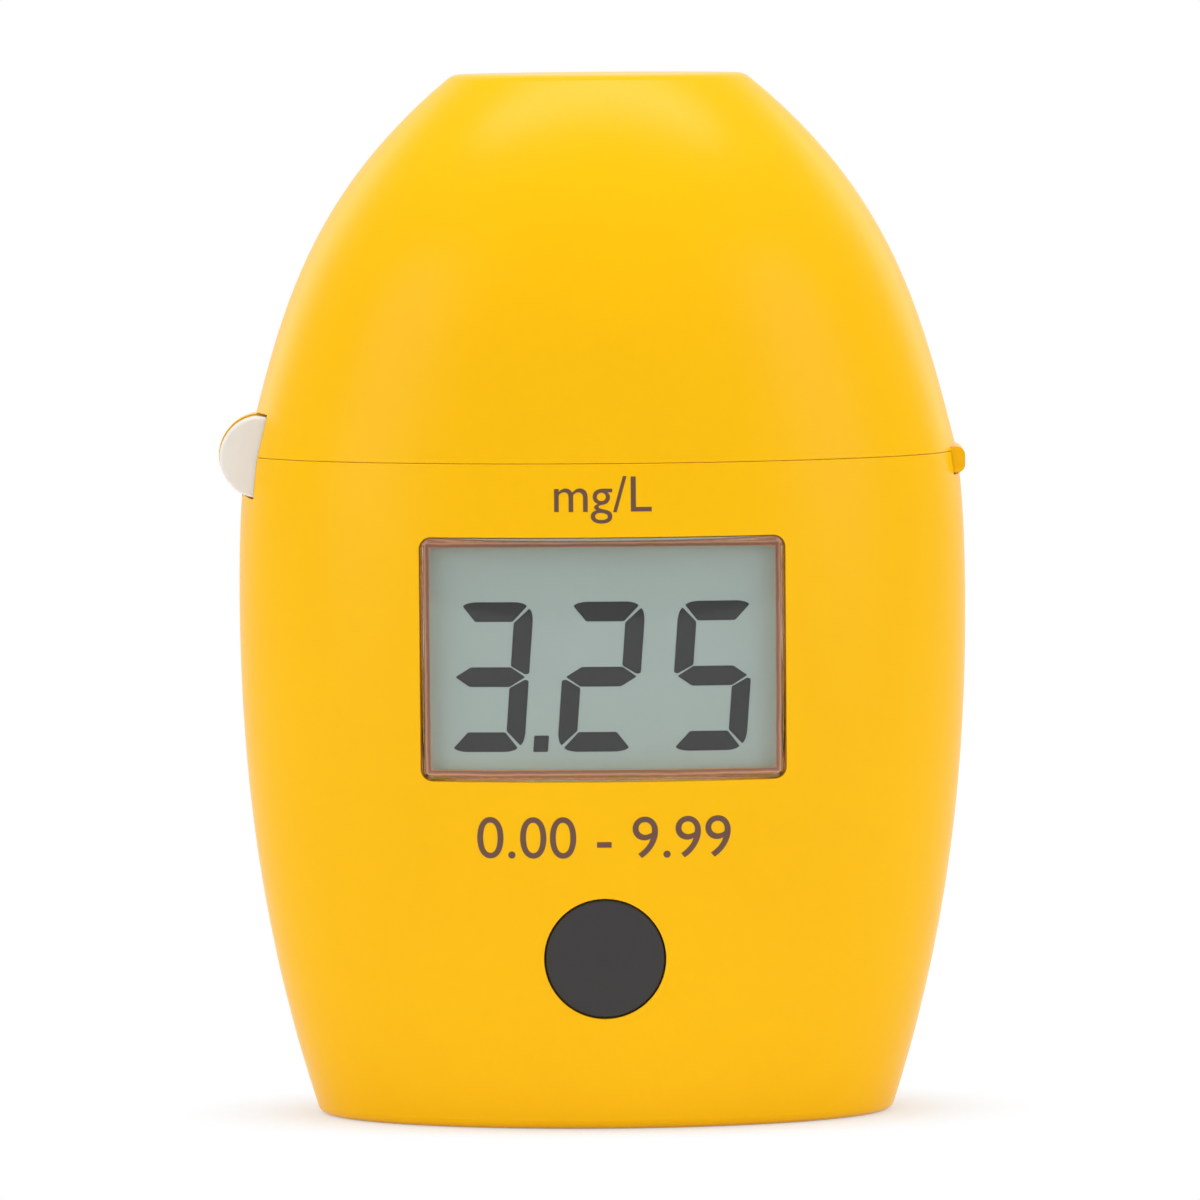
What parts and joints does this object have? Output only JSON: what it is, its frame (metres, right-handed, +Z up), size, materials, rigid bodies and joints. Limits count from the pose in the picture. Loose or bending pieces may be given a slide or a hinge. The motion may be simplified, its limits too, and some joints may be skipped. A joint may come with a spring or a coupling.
{
  "type": "portable colorimeter",
  "caption": "Egg-shaped hand-held colorimeter with a side-hinged lid over its glass cuvette, a numeric display window and a push button.",
  "frame": {"origin": "middle of the flat base, on the underside of the battery cover, where the instrument stands", "axes": "+Z up through the lid, -Y towards the display side, +X to the right of someone facing the display, the hinge on -X"},
  "size_m": [0.0616, 0.0374, 0.086],
  "materials": {
    "case_yellow": "satin",
    "hinge_white": "satin",
    "black_plastic": "matte",
    "cap_black": "satin",
    "foam": "matte",
    "strip_rubber": "matte",
    "button_rubber": "matte",
    "steel": "satin",
    "plated_spring": "satin",
    "adhesive_amber": "satin",
    "wire_sleeve": "satin",
    "brass": "satin",
    "battery_sleeve": "gloss",
    "board_green": "satin",
    "chip_black": "matte",
    "lamp_epoxy": "gloss",
    "filter_glass": "polished",
    "cuvette_glass": "polished",
    "lens_clear": "polished",
    "lcd_grey": "satin"
  },
  "bodies": {
    "housing": {"front_shell": "case_yellow", "rear_shell": "case_yellow", "inner_deck": "hinge_white", "hinge_pin": "steel", "cuvette_well": "black_plastic", "light_seal": "foam", "led_lamp": "lamp_epoxy", "led_leads": "steel", "led_holder": "black_plastic", "optical_filter": "filter_glass", "photodiode": "chip_black", "photodiode_leads": "steel", "detector_holder": "black_plastic", "display_lens": "lens_clear", "window_bond": "adhesive_amber", "lcd_panel": "lcd_grey", "lcd_frame": "black_plastic", "contact_strips": "strip_rubber", "circuit_board": "board_green", "board_chips": "chip_black", "key_switch": "chip_black", "battery": "battery_sleeve", "battery_tray": "black_plastic", "battery_wires": "wire_sleeve", "contact_plus": "plated_spring", "contact_minus": "plated_spring", "cover_insert": "brass", "case_screws": "steel", "board_screws": "steel"},
    "lid": {"lid_shell": "case_yellow", "lid_liner": "black_plastic"},
    "cuvette": {"cuvette_glass": "cuvette_glass", "cuvette_cap": "cap_black", "cap_liner": "foam"},
    "button": {"button_cap": "button_rubber", "button_plunger": "button_rubber"},
    "battery_cover": {"battery_cover": "case_yellow", "battery_pad": "foam"},
    "cover_screw": {"cover_screw": "steel"}
  },
  "joints": [
    {"name": "lid_hinge", "type": "hinge", "parent": "housing", "child": "lid", "pos_m": [-0.0281, 0, 0.0547], "axis": [0, -1, 0], "range_deg": [0, 100]},
    {"name": "cuvette_turn", "type": "hinge", "parent": "housing", "child": "cuvette", "pos_m": [0, 0.00187, 0.04], "axis": [0, 0, 1], "continuous": true},
    {"name": "button_press", "type": "slide", "parent": "housing", "child": "button", "axis": [0, 1, 0], "range_m": [0, 0.0005], "stiffness_N_per_m": 900, "springref_m": -0.0004},
    {"name": "cover_drop", "type": "slide", "parent": "housing", "child": "battery_cover", "axis": [0, 0, -1], "range_m": [0, 0.014]},
    {"name": "cover_screw_turn", "type": "hinge", "parent": "battery_cover", "child": "cover_screw", "pos_m": [0, -0.0085, 0], "axis": [0, 0, 1], "continuous": true}
  ]
}
